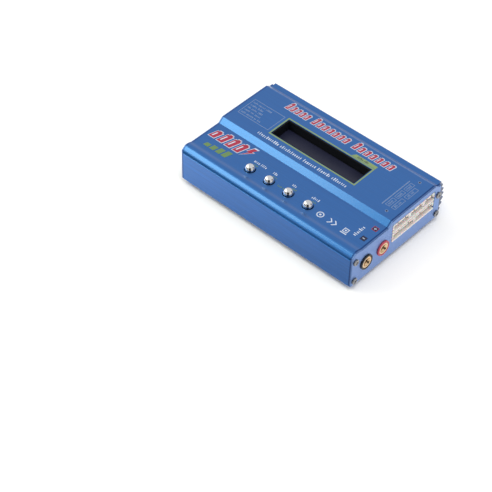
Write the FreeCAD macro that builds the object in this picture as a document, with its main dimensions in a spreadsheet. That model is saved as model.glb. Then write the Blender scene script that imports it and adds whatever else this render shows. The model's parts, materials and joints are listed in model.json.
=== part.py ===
"""Balance battery charger: an aluminium box with a display, four keys and balance sockets.

Two extrusions (a tray with cooling fins and a stepped lid) are held together by an end plate
at each end.  +X points out of the output end, +Y towards the finned side and +Z up.  The
origin is on the standing surface, under the middle of the charger.  Millimetres throughout.
"""
import FreeCAD, Part
import math
import os
import Sketcher

os.makedirs("parts", exist_ok=True)
doc = FreeCAD.newDocument("balance_charger")

# ------------------------------------------------------------------ driving dimensions
SIZES = {
    # casing
    "case_len": (128.0, "length of both extrusions"),
    "plate_thk": (1.5, "end plate thickness"),
    "foot_tall": (3.0, "rubber foot height, and the height of the case floor's underside"),
    "foot_rad": (5.0, "rubber foot radius"),
    "foot_dx": (54.0, "rubber feet, distance from the middle along X"),
    "foot_dy": (32.0, "rubber feet, distance from the middle along Y"),
    "wall": (1.8, "deck and floor thickness"),
    "front_y": (42.5, "front wall, distance in front of the middle"),
    "front_thk": (1.3, "front wall thickness"),
    "nose_y": (43.15, "lip of the lid's nose, distance in front of the middle"),
    "nose_lip": (24.4, "underside of the nose"),
    "nose_gap": (0.7, "gap between that lip and the top of the front wall"),
    "nose_lift": (0.95, "how far the nose stands above the lower deck"),
    "nose_foot": (34.2, "where the nose rises from the lower deck, in front of the middle"),
    "nose_back": (37.2, "back edge of the nose's flat crest"),
    "nose_crest": (39.5, "front edge of that crest"),
    "knee_y": (42.3, "where the nose turns down, in front of the middle"),
    "knee_z": (25.8, "height of that turn"),
    "low_deck": (27.1, "lower deck surface"),
    "high_deck": (30.0, "upper deck surface"),
    "bevel_front": (11.0, "front edge of the bevel, distance in front of the middle"),
    "bevel_back": (7.6, "back edge of the bevel, distance in front of the middle"),
    "deck_back": (31.9, "back edge of the upper deck"),
    "rail_front": (35.2, "foot of the slope behind the upper deck"),
    "rail_y": (39.3, "back edge of the lid"),
    "rail_top": (28.1, "top of the lid's back rail at its back edge"),
    "rail_dip": (0.2, "how much lower the rail is at the foot of the slope"),
    "seam_back": (26.0, "seam between lid and tray at the back"),
    "rear_in": (37.9, "inner face of the thick rear wall"),
    "leg_in": (33.1, "inner face of the rear screw channels"),
    "fin_tip": (43.09, "furthest fin tip behind the middle"),
    "fin_deep": (2.0, "fin depth"),
    "fin_pitch": (3.74, "fin pitch"),
    "fin_low": (5.8, "height of the lowest fin tip"),
    "fin_mid": (15.5, "height where the fins stand out furthest"),
    "fin_bow": (0.022, "how fast the fin tips fall back from that height"),
    "fin_flat": (0.3, "half of the flat on a fin tip"),
    "chan_front": (39.2, "front screw channels, distance in front of the middle"),
    "chan_back": (35.3, "rear screw channels, distance behind the middle"),
    "chan_low": (6.2, "height of the lower screw channels"),
    "chan_high": (20.9, "height of the upper screw channels"),
    "chan_rad": (1.3, "screw channel hole radius"),
    "chan_half": (2.2, "half width of the metal around a channel"),
    # display window and keys
    "win_x": (-2.17, "middle of the display window along X"),
    "win_y": (9.35, "middle of the display window along Y"),
    "win_len": (63.7, "window length"),
    "win_wide": (16.3, "window width"),
    "tube_fit": (0.1, "clearance of the window shroud's tube in the window"),
    "tube_wall": (0.6, "wall of that tube"),
    "tube_lip": (1.8, "width of the shroud's flange outside the tube"),
    "key_first": (-23.8, "first key along X"),
    "key_pitch": (14.77, "key spacing"),
    "key_y": (28.2, "keys, distance in front of the middle"),
    "key_hole": (3.4, "key hole radius"),
    "key_rad": (3.1, "key cap radius"),
    "key_lift": (3.5, "top of a key above the lower deck"),
    "skirt_rad": (2.3, "radius of a key cap's skirt, under its dome"),
    "skirt_low": (6.3, "bottom of that skirt below the lower deck"),
    "stem_rad": (1.75, "switch plunger radius"),
    "stem_top": (2.8, "top of a switch plunger below the lower deck"),
    "switch_half": (3.0, "half width of a switch body"),
    "switch_tall": (3.5, "switch body height"),
    # boards
    "board_top": (13.05, "top of the main board"),
    "board_thk": (1.6, "board thickness"),
    "board_front": (36.0, "front edge of the main board, in front of the middle"),
    "board_back": (34.0, "back edge of the main board"),
    "board_left": (61.0, "left edge of the main board, from the middle"),
    "board_right": (63.6, "right edge of the main board"),
    "notch_x": (45.0, "the board is cut away beyond this, for the output sockets"),
    "notch_y": (8.4, "back edge of that cut-away, in front of the middle"),
    "post_left": (56.0, "left board posts, from the middle"),
    "post_right": (48.0, "rear right board post"),
    "post_mid": (34.0, "front right board post"),
    "post_front": (32.8, "front board posts, in front of the middle"),
    "post_back": (30.0, "rear board posts, behind the middle"),
    "lcd_len": (80.0, "display board length"),
    "lcd_wide": (36.0, "display board width"),
    "lcd_board": (14.8, "underside of the display board"),
    "bezel_len": (71.2, "display frame length"),
    "bezel_wide": (24.2, "display frame width"),
    "bezel_top": (23.4, "top of the display frame"),
    "bezel_thk": (0.5, "display frame sheet thickness"),
    "view_len": (64.8, "opening of the display frame along X"),
    "view_wide": (16.6, "opening of the display frame along Y"),
    "glow_tall": (4.4, "backlight thickness"),
    "lcd_hole": (1.3, "display board screw hole radius"),
    "lcd_inset": (2.5, "display board holes from the board's edges"),
    "strip_pitch": (2.54, "display header pitch"),
    # output end
    "sock_neg": (29.6, "black output socket, in front of the middle"),
    "sock_pos": (14.8, "red output socket, in front of the middle"),
    "sock_z": (14.5, "height of the output sockets"),
    "sock_flange": (5.0, "insulator flange radius"),
    "sock_barrel": (3.9, "insulator barrel radius"),
    "sock_ring": (3.9, "contact front ring radius"),
    "sock_bore": (2.05, "contact bore radius, for a 4 mm banana plug"),
    "sock_funnel": (1.6, "depth of the funnel at the mouth of a contact"),
    "sock_deep": (14.0, "contact bore depth"),
    "plate_back": (37.3, "back edge of an end plate"),
    "head_rad": (2.1, "head radius of the end plate screws"),
    "proud": (1.0, "how far the sockets and screw heads stand off an end plate"),
    "hdr_front": (7.1, "balance cut-out, front edge in front of the middle"),
    "hdr_back": (31.8, "balance cut-out, back edge behind the middle"),
    "hdr_low": (13.15, "balance cut-out, lower edge"),
    "hdr_high": (26.05, "balance cut-out, upper edge"),
    "hdr_tall": (6.05, "balance header height"),
    "hdr_deep": (11.5, "balance header depth"),
    "hdr_wall": (0.8, "balance header wall"),
    "hdr_end": (4.9, "balance header width beyond its pins' span"),
    "hdr_pitch": (2.5, "balance pin pitch"),
    "hdr_proud": (0.4, "how far the balance headers stand off the end plate"),
    "pin_wide": (0.64, "width of a square pin"),
    # input end
    "jack_y": (24.0, "power jack, in front of the middle"),
    "jack_z": (19.0, "height of the power jack's bore"),
    "jack_bore": (2.9, "power jack bore radius, for a 5.5 mm plug"),
    "jack_collar": (4.2, "power jack collar radius"),
    "jack_deep": (10.0, "power jack bore depth"),
    "jack_pin": (1.25, "power jack centre pin radius"),
    "port_y": (0.0, "sensor port along Y"),
    # power electronics
    "coil_x": (52.5, "toroid inductor, left of the middle"),
    "coil_y": (17.0, "toroid inductor along Y"),
    "coil_rad": (5.9, "mean radius of the toroid core"),
    "coil_core": (2.3, "radius of the core's round section"),
    "coil_wire": (0.4, "winding wire radius"),
    "cap_row": (16.8, "row of capacitors, in front of the middle"),
    "cap_rad": (3.9, "capacitor radius"),
    "cap_tall": (11.0, "capacitor height"),
    "tab_pitch": (16.0, "power transistor spacing"),
    "tab_y": (7.0, "front edge of the power transistors"),
    "tab_wide": (10.0, "power transistor width"),
    "lead_pitch": (2.54, "lead spacing of a power transistor"),
    "clamp_x": (16.0, "transistor clamp screws, from the middle"),
    "clamp_y": (11.0, "transistor clamp screws along Y"),
    "mica_thk": (0.4, "insulating pad thickness"),
    "tab_thk": (1.3, "transistor tab thickness"),
    "body_top": (4.8, "top of the transistor bodies above the case floor"),
    "bar_thk": (0.9, "clamp bar thickness"),
}

sheet = doc.addObject("Spreadsheet::Sheet", "dims")
for row, (alias, (value, meaning)) in enumerate(SIZES.items(), start=1):
    sheet.set(f"A{row}", alias)
    sheet.set(f"B{row}", str(value))
    sheet.set(f"C{row}", meaning)
    sheet.setAlias(f"B{row}", alias)
doc.recompute()

NODES = []          # the finished sub-parts, in order


# ------------------------------------------------------------------ helpers
def size(formula):
    """Value of a formula on the sheet's cells."""
    return float(sheet.evalExpression(str(formula)))


def finish(obj, label):
    """Give a finished sub-part its name and put it on the list of nodes."""
    obj.Label = label
    NODES.append(obj)
    return obj


def place(obj, x="0", y="0", z="0"):
    """Bind an object's position to formulas."""
    for axis, formula in zip("xyz", (x, y, z)):
        obj.setExpression(f"Placement.Base.{axis}", str(formula))
    return obj


def box(corner, extent, name="block"):
    """A Part::Box from its low corner and its extent, all formulas."""
    obj = doc.addObject("Part::Box", name)
    for prop, formula in zip(("Length", "Width", "Height"), extent):
        obj.setExpression(prop, str(formula))
    return place(obj, *corner)


def cylinder(base, radius, height, axis="z", name="rod"):
    """A Part::Cylinder standing on its base point along +Z or +X."""
    obj = doc.addObject("Part::Cylinder", name)
    obj.setExpression("Radius", str(radius))
    obj.setExpression("Height", str(height))
    if axis == "x":
        obj.Placement.Rotation = FreeCAD.Rotation(FreeCAD.Vector(0, 1, 0), 90)
    return place(obj, *base)


def cut(base, tool, name="cut"):
    """The first object less the second."""
    obj = doc.addObject("Part::Cut", name)
    obj.Base = base
    obj.Tool = tool
    return obj


def fuse(shapes, name="fused"):
    """One solid from touching objects."""
    obj = doc.addObject("Part::MultiFuse", name)
    obj.Shapes = shapes
    return obj


def gather(objects, name="group"):
    """Separate identical pieces kept as one sub-part."""
    obj = doc.addObject("Part::Compound", name)
    obj.Links = objects
    return obj


def new_body(name):
    """An empty PartDesign body."""
    return doc.addObject("PartDesign::Body", name)


def new_sketch(body, role, offset="0"):
    """A sketch on one of the body's origin planes, moved along the plane's normal."""
    sketch = body.newObject("Sketcher::SketchObject", "outline")
    plane = next(item for item in body.Origin.OriginFeatures if item.Role == role)
    sketch.AttachmentSupport = (plane, [""])
    sketch.MapMode = "FlatFace"
    sketch.setExpression("AttachmentOffset.Base.z", str(offset))
    return sketch


def bound_point(sketch, geometry, point, u, v):
    """Hold a point of a sketch at formulas measured from the sketch's origin."""
    for kind, formula in (("DistanceX", u), ("DistanceY", v)):
        constraint = Sketcher.Constraint(kind, -1, 1, geometry, point, size(formula))
        index = sketch.addConstraint(constraint)
        sketch.setExpression(f"Constraints[{index}]", str(formula))


def polygon(sketch, points):
    """A closed outline whose corners are bound to formulas."""
    corners = [FreeCAD.Vector(size(u), size(v), 0) for u, v in points]
    first = sketch.GeometryCount
    count = len(corners)
    for i, corner in enumerate(corners):
        sketch.addGeometry(Part.LineSegment(corner, corners[(i + 1) % count]), False)
    for i in range(count):
        after = first + (i + 1) % count
        sketch.addConstraint(Sketcher.Constraint("Coincident", first + i, 2, after, 1))
    for i, (u, v) in enumerate(points):
        bound_point(sketch, first + i, 1, u, v)


def circle(sketch, u, v, radius):
    """A circle bound to formulas."""
    centre = FreeCAD.Vector(size(u), size(v), 0)
    normal = FreeCAD.Vector(0, 0, 1)
    geometry = sketch.addGeometry(Part.Circle(centre, normal, size(radius)), False)
    index = sketch.addConstraint(Sketcher.Constraint("Radius", geometry, size(radius)))
    sketch.setExpression(f"Constraints[{index}]", str(radius))
    bound_point(sketch, geometry, 3, u, v)


def rectangle(sketch, u0, v0, u1, v1):
    """A rectangle between two corners."""
    polygon(sketch, [(u0, v0), (u1, v0), (u1, v1), (u0, v1)])


def pad(body, sketch, length, midplane=False):
    """Extrude a sketch into material."""
    feature = body.newObject("PartDesign::Pad", "pad")
    feature.Profile = sketch
    feature.setExpression("Length", str(length))
    if midplane:
        feature.SideType = "Symmetric"
    doc.recompute()
    return feature


def pocket(body, sketch, length):
    """Cut a sketch symmetrically about its plane, and check that it cut something."""
    before = body.Shape.Volume
    feature = body.newObject("PartDesign::Pocket", "pocket")
    feature.Profile = sketch
    feature.SideType = "Symmetric"
    feature.setExpression("Length", str(length))
    doc.recompute()
    if body.Shape.Volume > before - 1e-6:
        raise RuntimeError(f"a pocket in {body.Name} cuts nothing")
    return feature


def turned(name, profile):
    """A turned piece: (radius, height) corners on XZ, revolved about the body's own Z."""
    body = new_body(name)
    sketch = new_sketch(body, "XZ_Plane")
    polygon(sketch, profile)
    feature = body.newObject("PartDesign::Revolution", "turn")
    feature.Profile = sketch
    feature.ReferenceAxis = (sketch, ["V_Axis"])
    feature.Angle = 360
    doc.recompute()
    return body


def lay_along_x(obj, outward=1):
    """Turn a piece made along Z so that its axis points along +X or -X."""
    obj.Placement.Rotation = FreeCAD.Rotation(FreeCAD.Vector(0, 1, 0), 90 * outward)
    return obj


def edges_where(body, test):
    """Names of the body's edges whose middle point and direction pass a test."""
    found = []
    for i, edge in enumerate(body.Shape.Edges, start=1):
        middle = edge.valueAt((edge.FirstParameter + edge.LastParameter) / 2)
        if test(edge, middle):
            found.append(f"Edge{i}")
    if not found:
        raise RuntimeError(f"no edge found on {body.Name}")
    return found


def edges_along_x(body, corners):
    """Names of the long edges that pass through the given (y, z) corners."""
    def on_corner(edge, middle):
        if edge.Length < size("dims.case_len") * 0.9:
            return False
        return any(math.hypot(middle.y - size(y), middle.z - size(z)) < 0.05 for y, z in corners)
    return edges_where(body, on_corner)


def dress(body, kind, edges, amount):
    """A Fillet or Chamfer of one size on named edges."""
    base = body.Tip
    feature = body.newObject(f"PartDesign::{kind}", kind.lower())
    feature.Base = (base, edges)
    prop = "Radius" if kind == "Fillet" else "Size"
    feature.setExpression(prop, str(amount))
    doc.recompute()
    return feature


def copies(pattern, places, label):
    """Identical pieces as separate solids, each a copy of one pattern piece."""
    shapes = []
    for x, y, z in places:
        shape = pattern.Shape.copy()
        shape.translate(FreeCAD.Vector(size(x), size(y), size(z)))
        shapes.append(shape)
    obj = doc.addObject("Part::Feature", "copies")
    obj.Shape = Part.makeCompound(shapes)
    return finish(obj, label)


# ------------------------------------------------------------------ casing
HALF = "(dims.case_len / 2)"
PLATE_FACE = "(dims.case_len / 2 + dims.plate_thk)"
CLAMP_X = ("-dims.clamp_x", "dims.clamp_x")


def fin_outline():
    """Corners of the finned rear face, from the top fin down to the bottom one."""
    points = []
    for i in reversed(range(6)):
        level = f"(dims.fin_low + {i} * dims.fin_pitch)"
        tip = f"dims.fin_tip - dims.fin_bow * ({level} - dims.fin_mid)^2"
        points.append((tip, f"{level} + dims.fin_flat"))
        points.append((tip, f"{level} - dims.fin_flat"))
        if i:
            valley = f"({level} - dims.fin_pitch / 2)"
            root = f"dims.fin_tip - dims.fin_deep - dims.fin_bow * ({valley} - dims.fin_mid)^2"
            points.append((root, valley))
    return points


def make_bottom_case():
    """Tray: front wall, floor, thick finned rear wall and the two lower screw channels."""
    body = new_body("bottom_case")
    sketch = new_sketch(body, "YZ_Plane")
    floor_top = "dims.foot_tall + dims.wall"
    inner_front = "-(dims.front_y - dims.front_thk)"
    block_top = "dims.chan_low + dims.chan_half"
    wall_top = "dims.nose_lip - dims.nose_gap"
    polygon(sketch, [
        ("-dims.front_y", "dims.foot_tall"),
        ("-dims.front_y", wall_top),
        (inner_front, wall_top),
        (inner_front, block_top),
        ("-dims.chan_front + dims.chan_half", block_top),
        ("-dims.chan_front + dims.chan_half", floor_top),
        ("dims.leg_in", floor_top),
        ("dims.leg_in", block_top),
        ("dims.rear_in", block_top),
        ("dims.rear_in", "dims.chan_high - dims.chan_half - 0.3"),
        ("dims.rail_y - 0.3", "dims.chan_high - dims.chan_half - 0.3"),
        ("dims.rail_y - 0.3", "dims.seam_back"),
        ("dims.rail_y + 0.6", "dims.seam_back"),
        *fin_outline(),
        ("dims.rail_y + 0.6", "dims.foot_tall + 0.7"),
        ("dims.rail_y", "dims.foot_tall"),
    ])
    circle(sketch, "-dims.chan_front", "dims.chan_low", "dims.chan_rad")
    circle(sketch, "dims.chan_back", "dims.chan_low", "dims.chan_rad")
    pad(body, sketch, "dims.case_len", midplane=True)
    bottom_edge = edges_along_x(body, [("-dims.front_y", "dims.foot_tall")])
    dress(body, "Fillet", bottom_edge, "0.6")
    wall_edge = edges_along_x(body, [("-dims.front_y", wall_top)])
    dress(body, "Chamfer", wall_edge, "0.6")
    threads = new_sketch(body, "XY_Plane", floor_top)
    for x in CLAMP_X:
        circle(threads, x, "dims.clamp_y", "dims.chan_rad")
    pocket(body, threads, "2.6")
    return finish(body, "bottom_case")


def make_top_cover():
    """Lid: folded nose, lower deck, bevel, upper deck, back rail and two channel legs."""
    body = new_body("top_cover")
    sketch = new_sketch(body, "YZ_Plane")
    nose_top = "dims.low_deck + dims.nose_lift"
    low_under = "dims.low_deck - dims.wall"
    high_under = "dims.high_deck - dims.wall"
    leg_out = "-(dims.front_y - dims.front_thk - 0.2)"
    leg_in = "-(dims.front_y - dims.front_thk - 2)"
    block_in = "-dims.chan_front + dims.chan_half"
    block_low = "dims.chan_high - dims.chan_half"
    block_high = "dims.chan_high + dims.chan_half"
    rail_low = "dims.rail_top - dims.rail_dip"
    rail_under = "dims.rail_top - dims.wall + 0.1"
    polygon(sketch, [
        ("-dims.nose_y", "dims.nose_lip"),
        ("-dims.knee_y", "dims.knee_z"),
        ("-dims.nose_crest", nose_top),
        ("-dims.nose_back", nose_top),
        ("-dims.nose_foot", "dims.low_deck"),
        ("-dims.bevel_front", "dims.low_deck"),
        ("-dims.bevel_back", "dims.high_deck"),
        ("dims.deck_back", "dims.high_deck"),
        ("dims.rail_front", rail_low),
        ("dims.rail_y", "dims.rail_top"),
        ("dims.rail_y", "dims.seam_back + 0.1"),
        ("dims.rail_y - 0.5", "dims.seam_back + 0.1"),
        ("dims.rail_y - 0.5", block_low),
        ("dims.leg_in", block_low),
        ("dims.leg_in", block_high),
        ("dims.rear_in - 1", block_high),
        ("dims.rear_in - 1", rail_under),
        ("dims.rail_front - 0.9", rail_under),
        ("dims.deck_back - 0.8", high_under),
        ("-dims.bevel_back + 0.66", high_under),
        ("-dims.bevel_front + 0.66", low_under),
        (leg_in, low_under),
        (leg_in, block_high),
        (block_in, block_high),
        (block_in, block_low),
        (leg_out, block_low),
        (leg_out, "dims.nose_lip"),
    ])
    circle(sketch, "-dims.chan_front", "dims.chan_high", "dims.chan_rad")
    circle(sketch, "dims.chan_back", "dims.chan_high", "dims.chan_rad")
    pad(body, sketch, "dims.case_len", midplane=True)
    rounded = [
        ("6", [("-dims.nose_back", nose_top), ("-dims.nose_foot", "dims.low_deck")]),
        ("5", [("-dims.knee_y", "dims.knee_z")]),
        ("4.5", [("-dims.nose_crest", nose_top)]),
        ("2", [("dims.deck_back", "dims.high_deck")]),
        ("1", [("dims.rail_front", rail_low)]),
        ("0.4", [("-dims.bevel_front", "dims.low_deck"), ("-dims.bevel_back", "dims.high_deck"),
                 ("dims.rail_y", "dims.rail_top")]),
        ("0.15", [("-dims.nose_y", "dims.nose_lip")]),
    ]
    for radius, corners in rounded:
        dress(body, "Fillet", edges_along_x(body, corners), radius)
    window = new_sketch(body, "XY_Plane", "dims.high_deck")
    rectangle(window, "dims.win_x - dims.win_len / 2", "dims.win_y - dims.win_wide / 2",
              "dims.win_x + dims.win_len / 2", "dims.win_y + dims.win_wide / 2")
    pocket(body, window, "4 * dims.wall")
    hole = new_sketch(body, "XY_Plane", "dims.low_deck")
    circle(hole, "dims.key_first", "-dims.key_y", "dims.key_hole")
    first_hole = pocket(body, hole, "3 * dims.wall")
    row = body.newObject("PartDesign::LinearPattern", "key_holes")
    row.Originals = [first_hole]
    row.Direction = (hole, ["H_Axis"])
    row.setExpression("Length", "3 * dims.key_pitch")
    row.Occurrences = 4
    body.Tip = row
    doc.recompute()
    rims = edges_where(body, lambda edge, middle: (
        isinstance(edge.Curve, Part.Circle)
        and abs(edge.Curve.Radius - size("dims.key_hole")) < 1e-3
        and abs(middle.z - size("dims.low_deck")) < 1e-3))
    dress(body, "Chamfer", rims, "0.2")
    return finish(body, "top_cover")


def plate_outline(sketch):
    """Outline of an end plate in Y and Z, just inside the case's own section."""
    nose_top = "dims.low_deck + dims.nose_lift - 0.25"
    polygon(sketch, [
        ("-dims.front_y + 0.1", "dims.foot_tall + 0.1"),
        ("-dims.front_y + 0.1", "dims.knee_z - 0.3"),
        ("-dims.nose_crest + 0.1", nose_top),
        ("-dims.nose_back", nose_top),
        ("-dims.nose_foot", "dims.low_deck - 0.2"),
        ("-dims.bevel_front + 0.1", "dims.low_deck - 0.2"),
        ("-dims.bevel_back + 0.1", "dims.high_deck - 0.2"),
        ("dims.deck_back", "dims.high_deck - 0.2"),
        ("dims.rail_front", "dims.rail_top - dims.rail_dip - 0.2"),
        ("dims.plate_back", "dims.rail_top - dims.rail_dip - 0.1"),
        ("dims.plate_back", "dims.foot_tall + 0.1"),
    ])


def make_end_plate(label, side):
    """End plate: outline, four screw holes and openings for this end's connectors."""
    body = new_body(label)
    middle = f"{side} * (dims.case_len / 2 + dims.plate_thk / 2)"
    sketch = new_sketch(body, "YZ_Plane", middle)
    plate_outline(sketch)
    for y in ("-dims.chan_front", "dims.chan_back"):
        for z in ("dims.chan_low", "dims.chan_high"):
            circle(sketch, y, z, "dims.chan_rad + 0.3")
    if side > 0:
        for y in ("-dims.sock_neg", "-dims.sock_pos"):
            circle(sketch, y, "dims.sock_z", "dims.sock_barrel + 0.1")
        rectangle(sketch, "-dims.hdr_front", "dims.hdr_low - 0.1",
                  "dims.hdr_back", "dims.hdr_high + 0.1")
    else:
        circle(sketch, "-dims.jack_y", "dims.jack_z", "dims.jack_collar + 0.15")
        half_port = "(dims.hdr_pitch * 2 + dims.hdr_end) / 2 + 0.2"
        rectangle(sketch, f"dims.port_y - ({half_port})", "dims.hdr_low - 0.1",
                  f"dims.port_y + ({half_port})", "dims.hdr_low + dims.hdr_tall + 0.2")
    pad(body, sketch, "dims.plate_thk", midplane=True)
    across = size("dims.plate_thk")
    nose_corners = edges_where(body, lambda edge, mid: (
        abs(edge.Length - across) < 1e-3 and mid.z > size("dims.knee_z") - 1
        and mid.y < size("-dims.nose_crest") + 1))
    dress(body, "Fillet", nose_corners, "1")
    low_corners = edges_where(body, lambda edge, mid: (
        abs(edge.Length - across) < 1e-3 and mid.z < size("dims.foot_tall") + 1))
    dress(body, "Fillet", low_corners, "0.6")
    outer = size(f"{side} * {PLATE_FACE}")
    face = next(item for item in body.Shape.Faces if abs(item.CenterOfMass.x - outer) < 1e-3)
    outline = face.OuterWire.Edges
    rim = edges_where(body, lambda edge, mid: any(edge.isSame(item) for item in outline))
    dress(body, "Chamfer", rim, "0.3")
    return finish(body, label)


def make_screw(name, head_rad, head_tall, shank_rad, shank_long):
    """A pan-head cross-recess screw standing on its head's underside, head upwards."""
    body = turned(name, [
        ("0", f"-({shank_long})"),
        (f"{shank_rad} - 0.4", f"-({shank_long})"),
        (shank_rad, f"-({shank_long}) + 0.5"),
        (shank_rad, "0"),
        (head_rad, "0"),
        (head_rad, f"{head_tall} * 0.6"),
        (f"{head_rad} * 0.85", f"{head_tall} * 0.9"),
        (f"{head_rad} * 0.5", head_tall),
        ("0", head_tall),
    ])
    recess = new_sketch(body, "XY_Plane", head_tall)
    arm = f"({head_rad} * 0.55)"
    slot = f"({head_rad} * 0.13)"
    cross = [(slot, arm), (f"-{slot}", arm), (f"-{slot}", slot), (f"-{arm}", slot),
             (f"-{arm}", f"-{slot}"), (f"-{slot}", f"-{slot}"), (f"-{slot}", f"-{arm}"),
             (slot, f"-{arm}"), (slot, f"-{slot}"), (arm, f"-{slot}"), (arm, slot),
             (slot, slot)]
    polygon(recess, cross)
    pocket(body, recess, f"{head_tall} * 1.4")
    return body


def make_end_plate_screws():
    """The eight screws that hold the end plates: one pattern, four on each end."""
    pattern = make_screw("end_screw", "dims.head_rad", "dims.proud", "dims.chan_rad - 0.05", "8")
    shapes = []
    for outward in (1, -1):
        for y in ("-dims.chan_front", "dims.chan_back"):
            for z in ("dims.chan_low", "dims.chan_high"):
                shape = pattern.Shape.copy()
                shape.rotate(FreeCAD.Vector(), FreeCAD.Vector(0, 1, 0), 90 * outward)
                x = size(f"{outward} * {PLATE_FACE}")
                shape.translate(FreeCAD.Vector(x, size(y), size(z)))
                shapes.append(shape)
    obj = doc.addObject("Part::Feature", "end_plate_screws")
    obj.Shape = Part.makeCompound(shapes)
    return finish(obj, "end_plate_screws")


def make_rubber_feet():
    """Four round feet stuck under the tray."""
    pattern = turned("foot", [
        ("0", "0"),
        ("dims.foot_rad - 0.8", "0"),
        ("dims.foot_rad - 0.3", "0.3"),
        ("dims.foot_rad", "dims.foot_tall"),
        ("0", "dims.foot_tall"),
    ])
    places = [(f"{sx} * dims.foot_dx", f"{sy} * dims.foot_dy", "0")
              for sx in (-1, 1) for sy in (-1, 1)]
    return copies(pattern, places, "rubber_feet")


# ------------------------------------------------------------------ main board
POSTS = [("-dims.post_left", "-dims.post_front"), ("-dims.post_left", "dims.post_back"),
         ("dims.post_mid", "-dims.post_front"), ("dims.post_right", "dims.post_back")]


def make_main_board():
    """Circuit board with four post holes and its front right corner cut away."""
    body = new_body("main_board")
    sketch = new_sketch(body, "XY_Plane", "dims.board_top - dims.board_thk / 2")
    polygon(sketch, [
        ("-dims.board_left", "-dims.board_front"),
        ("dims.notch_x", "-dims.board_front"),
        ("dims.notch_x", "-dims.notch_y"),
        ("dims.board_right", "-dims.notch_y"),
        ("dims.board_right", "dims.board_back"),
        ("-dims.board_left", "dims.board_back"),
    ])
    for x, y in POSTS:
        circle(sketch, x, y, "1.6")
    pad(body, sketch, "dims.board_thk", midplane=True)
    return finish(body, "main_board")


def make_board_posts():
    """Hexagonal posts between the floor and the main board, and the screws into them."""
    height = "dims.board_top - dims.board_thk - dims.foot_tall - dims.wall"
    post = doc.addObject("Part::Prism", "post")
    post.Polygon = 6
    post.setExpression("Circumradius", "2.9")
    post.setExpression("Height", height)
    hole = cylinder(("0", "0", f"{height} - 5"), "1.3", "6")
    pattern = cut(post, hole)
    doc.recompute()
    copies(pattern, [(x, y, "dims.foot_tall + dims.wall") for x, y in POSTS], "board_posts")
    screw = make_screw("board_screw", "2.7", "1.5", "1.25", "dims.board_thk + 4")
    copies(screw, [(x, y, "dims.board_top") for x, y in POSTS], "board_screws")


# ------------------------------------------------------------------ display
def window_rectangle(sketch, half_len, half_wide):
    """A rectangle about the middle of the display window."""
    rectangle(sketch, f"dims.win_x - ({half_len})", f"dims.win_y - ({half_wide})",
              f"dims.win_x + ({half_len})", f"dims.win_y + ({half_wide})")


def make_display():
    """Display module, bottom to top: spacers, board, backlight, glass and frame."""
    x0 = "(dims.win_x - dims.lcd_len / 2)"
    y0 = "(dims.win_y - dims.lcd_wide / 2)"
    board = new_body("lcd_board")
    sketch = new_sketch(board, "XY_Plane", "dims.lcd_board + dims.board_thk / 2")
    window_rectangle(sketch, "dims.lcd_len / 2", "dims.lcd_wide / 2")
    corners = [(f"dims.win_x + {sx} * (dims.lcd_len / 2 - dims.lcd_inset)",
                f"dims.win_y + {sy} * (dims.lcd_wide / 2 - dims.lcd_inset)")
               for sx in (-1, 1) for sy in (-1, 1)]
    for x, y in corners:
        circle(sketch, x, y, "dims.lcd_hole")
    pad(board, sketch, "dims.board_thk", midplane=True)
    finish(board, "lcd_board")

    spacer_tall = "dims.lcd_board - dims.board_top"
    spacer = turned("spacer", [
        ("dims.lcd_hole", "0"), ("dims.lcd_hole + 1.1", "0"),
        ("dims.lcd_hole + 1.1", spacer_tall), ("dims.lcd_hole", spacer_tall),
    ])
    copies(spacer, [(x, y, "dims.board_top") for x, y in corners], "lcd_spacers")

    board_face = "(dims.lcd_board + dims.board_thk)"
    inner_len = "(dims.bezel_len - 2 * dims.bezel_thk - 0.4)"
    inner_wide = "(dims.bezel_wide - 2 * dims.bezel_thk - 0.4)"
    corner = (f"dims.win_x - {inner_len} / 2", f"dims.win_y - {inner_wide} / 2", board_face)
    finish(box(corner, (inner_len, inner_wide, "dims.glow_tall")), "lcd_backlight")
    glass_low = f"({board_face} + dims.glow_tall)"
    corner = (corner[0], corner[1], glass_low)
    glass_tall = f"dims.bezel_top - dims.bezel_thk - {glass_low}"
    finish(box(corner, (inner_len, inner_wide, glass_tall)), "lcd_glass")

    bezel = new_body("lcd_bezel")
    sketch = new_sketch(bezel, "XY_Plane", f"({board_face} + dims.bezel_top) / 2")
    window_rectangle(sketch, "dims.bezel_len / 2", "dims.bezel_wide / 2")
    pad(bezel, sketch, f"dims.bezel_top - {board_face}", midplane=True)
    inside = new_sketch(bezel, "XY_Plane", board_face)
    window_rectangle(inside, "dims.bezel_len / 2 - dims.bezel_thk",
                     "dims.bezel_wide / 2 - dims.bezel_thk")
    pocket(bezel, inside, f"2 * (dims.bezel_top - dims.bezel_thk - {board_face})")
    view = new_sketch(bezel, "XY_Plane", "dims.bezel_top")
    window_rectangle(view, "dims.view_len / 2", "dims.view_wide / 2")
    pocket(bezel, view, "4 * dims.bezel_thk")
    finish(bezel, "lcd_bezel")

    strip_y = f"({y0} + dims.lcd_wide - dims.lcd_inset)"
    finish(box((f"{x0} + 6.5", f"{strip_y} - dims.strip_pitch / 2", "dims.board_top"),
               ("16 * dims.strip_pitch", "dims.strip_pitch", spacer_tall)), "lcd_header_strip")
    pins = [box((f"{x0} + 7.45 + {i} * dims.strip_pitch", f"{strip_y} - dims.pin_wide / 2",
                 "dims.board_top - dims.board_thk - 1"),
                ("dims.pin_wide", "dims.pin_wide", f"{spacer_tall} + 2 * dims.board_thk + 2"))
            for i in range(16)]
    finish(gather(pins), "lcd_header_pins")


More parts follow.
